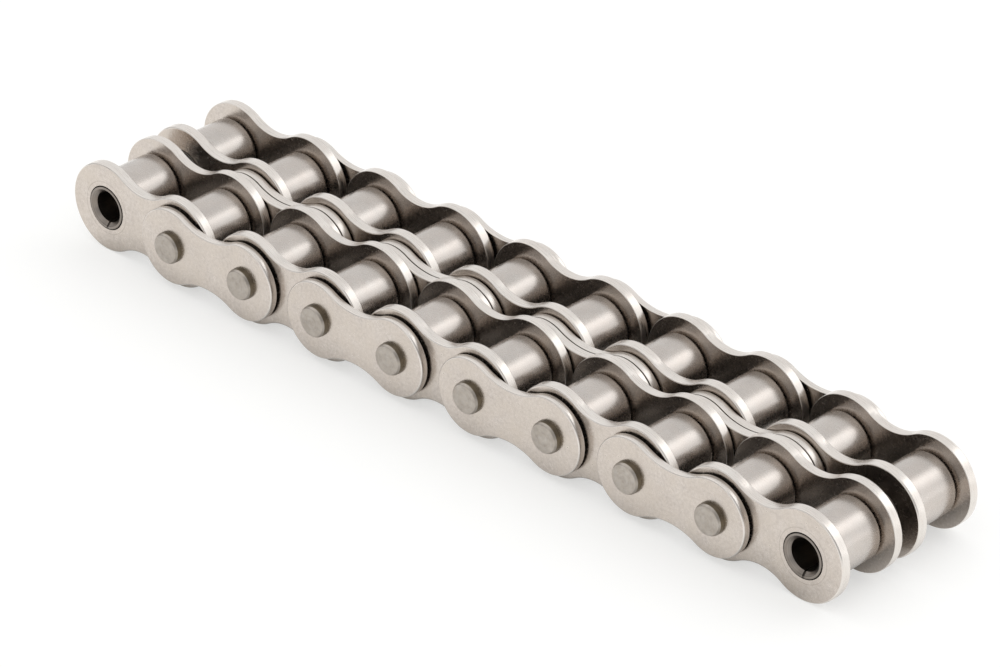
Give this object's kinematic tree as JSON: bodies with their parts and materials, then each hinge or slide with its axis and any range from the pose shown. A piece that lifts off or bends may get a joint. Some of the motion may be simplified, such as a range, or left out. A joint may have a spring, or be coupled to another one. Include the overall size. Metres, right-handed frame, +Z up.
{
  "type": "duplex roller chain",
  "caption": "Length of steel duplex roller chain: waisted inner, outer and paired centre link plates, pressed bushes, free rollers and riveted pins, with open bushes at both ends.",
  "frame": {"origin": "on the table, under the middle of the chain and midway between its two strands", "axes": "+X along the chain, +Y across it from the front strand to the back strand, +Z up"},
  "size_m": [0.1576, 0.035, 0.0147],
  "materials": {
    "inner_plates": "tumbled stainless steel, matt with bright edges",
    "outer_plates": "tumbled stainless steel, matt with bright edges",
    "centre_plates": "tumbled stainless steel, sheared edges",
    "bushes": "rolled stainless steel strip, ground",
    "rollers": "satin stainless steel",
    "pins": "ground stainless steel with a riveted end"
  },
  "bodies": {
    "link1": {"link1_front_plates": "inner_plates", "link1_front_bushes": "bushes", "link1_back_plates": "inner_plates", "link1_back_bushes": "bushes"},
    "link2": {"link2_front_plate": "outer_plates", "link2_back_plate": "outer_plates", "link2_centre_plates": "centre_plates", "link2_pins": "pins"},
    "link3": {"link3_front_plates": "inner_plates", "link3_front_bushes": "bushes", "link3_back_plates": "inner_plates", "link3_back_bushes": "bushes"},
    "link4": {"link4_front_plate": "outer_plates", "link4_back_plate": "outer_plates", "link4_centre_plates": "centre_plates", "link4_pins": "pins"},
    "link5": {"link5_front_plates": "inner_plates", "link5_front_bushes": "bushes", "link5_back_plates": "inner_plates", "link5_back_bushes": "bushes"},
    "link6": {"link6_front_plate": "outer_plates", "link6_back_plate": "outer_plates", "link6_centre_plates": "centre_plates", "link6_pins": "pins"},
    "link7": {"link7_front_plates": "inner_plates", "link7_front_bushes": "bushes", "link7_back_plates": "inner_plates", "link7_back_bushes": "bushes"},
    "link8": {"link8_front_plate": "outer_plates", "link8_back_plate": "outer_plates", "link8_centre_plates": "centre_plates", "link8_pins": "pins"},
    "link9": {"link9_front_plates": "inner_plates", "link9_front_bushes": "bushes", "link9_back_plates": "inner_plates", "link9_back_bushes": "bushes"},
    "roller01_front": {"roller01_front": "rollers"},
    "roller01_back": {"roller01_back": "rollers"},
    "roller02_front": {"roller02_front": "rollers"},
    "roller02_back": {"roller02_back": "rollers"},
    "roller03_front": {"roller03_front": "rollers"},
    "roller03_back": {"roller03_back": "rollers"},
    "roller04_front": {"roller04_front": "rollers"},
    "roller04_back": {"roller04_back": "rollers"},
    "roller05_front": {"roller05_front": "rollers"},
    "roller05_back": {"roller05_back": "rollers"},
    "roller06_front": {"roller06_front": "rollers"},
    "roller06_back": {"roller06_back": "rollers"},
    "roller07_front": {"roller07_front": "rollers"},
    "roller07_back": {"roller07_back": "rollers"},
    "roller08_front": {"roller08_front": "rollers"},
    "roller08_back": {"roller08_back": "rollers"},
    "roller09_front": {"roller09_front": "rollers"},
    "roller09_back": {"roller09_back": "rollers"},
    "roller10_front": {"roller10_front": "rollers"},
    "roller10_back": {"roller10_back": "rollers"}
  },
  "joints": [
    {"name": "axle02_hinge", "type": "hinge", "parent": "link2", "child": "link1", "pos_m": [-0.05556, 0, 0.00737], "axis": [0, 1, 0], "range_deg": [-120, 120]},
    {"name": "axle03_hinge", "type": "hinge", "parent": "link3", "child": "link2", "pos_m": [-0.03969, 0, 0.00737], "axis": [0, -1, 0], "range_deg": [-120, 120]},
    {"name": "axle04_hinge", "type": "hinge", "parent": "link4", "child": "link3", "pos_m": [-0.02381, 0, 0.00737], "axis": [0, 1, 0], "range_deg": [-120, 120]},
    {"name": "axle05_hinge", "type": "hinge", "parent": "link5", "child": "link4", "pos_m": [-0.00794, 0, 0.00737], "axis": [0, -1, 0], "range_deg": [-120, 120]},
    {"name": "axle06_hinge", "type": "hinge", "parent": "link5", "child": "link6", "pos_m": [0.00794, 0, 0.00737], "axis": [0, -1, 0], "range_deg": [-120, 120]},
    {"name": "axle07_hinge", "type": "hinge", "parent": "link6", "child": "link7", "pos_m": [0.02381, 0, 0.00737], "axis": [0, 1, 0], "range_deg": [-120, 120]},
    {"name": "axle08_hinge", "type": "hinge", "parent": "link7", "child": "link8", "pos_m": [0.03969, 0, 0.00737], "axis": [0, -1, 0], "range_deg": [-120, 120]},
    {"name": "axle09_hinge", "type": "hinge", "parent": "link8", "child": "link9", "pos_m": [0.05556, 0, 0.00737], "axis": [0, 1, 0], "range_deg": [-120, 120]},
    {"name": "roller01_front_spin", "type": "hinge", "parent": "link1", "child": "roller01_front", "pos_m": [-0.07144, -0.0083, 0.00737], "axis": [0, 1, 0], "continuous": true},
    {"name": "roller01_back_spin", "type": "hinge", "parent": "link1", "child": "roller01_back", "pos_m": [-0.07144, 0.0083, 0.00737], "axis": [0, 1, 0], "continuous": true},
    {"name": "roller02_front_spin", "type": "hinge", "parent": "link1", "child": "roller02_front", "pos_m": [-0.05556, -0.0083, 0.00737], "axis": [0, 1, 0], "continuous": true},
    {"name": "roller02_back_spin", "type": "hinge", "parent": "link1", "child": "roller02_back", "pos_m": [-0.05556, 0.0083, 0.00737], "axis": [0, 1, 0], "continuous": true},
    {"name": "roller03_front_spin", "type": "hinge", "parent": "link3", "child": "roller03_front", "pos_m": [-0.03969, -0.0083, 0.00737], "axis": [0, 1, 0], "continuous": true},
    {"name": "roller03_back_spin", "type": "hinge", "parent": "link3", "child": "roller03_back", "pos_m": [-0.03969, 0.0083, 0.00737], "axis": [0, 1, 0], "continuous": true},
    {"name": "roller04_front_spin", "type": "hinge", "parent": "link3", "child": "roller04_front", "pos_m": [-0.02381, -0.0083, 0.00737], "axis": [0, 1, 0], "continuous": true},
    {"name": "roller04_back_spin", "type": "hinge", "parent": "link3", "child": "roller04_back", "pos_m": [-0.02381, 0.0083, 0.00737], "axis": [0, 1, 0], "continuous": true},
    {"name": "roller05_front_spin", "type": "hinge", "parent": "link5", "child": "roller05_front", "pos_m": [-0.00794, -0.0083, 0.00737], "axis": [0, 1, 0], "continuous": true},
    {"name": "roller05_back_spin", "type": "hinge", "parent": "link5", "child": "roller05_back", "pos_m": [-0.00794, 0.0083, 0.00737], "axis": [0, 1, 0], "continuous": true},
    {"name": "roller06_front_spin", "type": "hinge", "parent": "link5", "child": "roller06_front", "pos_m": [0.00794, -0.0083, 0.00737], "axis": [0, 1, 0], "continuous": true},
    {"name": "roller06_back_spin", "type": "hinge", "parent": "link5", "child": "roller06_back", "pos_m": [0.00794, 0.0083, 0.00737], "axis": [0, 1, 0], "continuous": true},
    {"name": "roller07_front_spin", "type": "hinge", "parent": "link7", "child": "roller07_front", "pos_m": [0.02381, -0.0083, 0.00737], "axis": [0, 1, 0], "continuous": true},
    {"name": "roller07_back_spin", "type": "hinge", "parent": "link7", "child": "roller07_back", "pos_m": [0.02381, 0.0083, 0.00737], "axis": [0, 1, 0], "continuous": true},
    {"name": "roller08_front_spin", "type": "hinge", "parent": "link7", "child": "roller08_front", "pos_m": [0.03969, -0.0083, 0.00737], "axis": [0, 1, 0], "continuous": true},
    {"name": "roller08_back_spin", "type": "hinge", "parent": "link7", "child": "roller08_back", "pos_m": [0.03969, 0.0083, 0.00737], "axis": [0, 1, 0], "continuous": true},
    {"name": "roller09_front_spin", "type": "hinge", "parent": "link9", "child": "roller09_front", "pos_m": [0.05556, -0.0083, 0.00737], "axis": [0, 1, 0], "continuous": true},
    {"name": "roller09_back_spin", "type": "hinge", "parent": "link9", "child": "roller09_back", "pos_m": [0.05556, 0.0083, 0.00737], "axis": [0, 1, 0], "continuous": true},
    {"name": "roller10_front_spin", "type": "hinge", "parent": "link9", "child": "roller10_front", "pos_m": [0.07144, -0.0083, 0.00737], "axis": [0, 1, 0], "continuous": true},
    {"name": "roller10_back_spin", "type": "hinge", "parent": "link9", "child": "roller10_back", "pos_m": [0.07144, 0.0083, 0.00737], "axis": [0, 1, 0], "continuous": true}
  ]
}
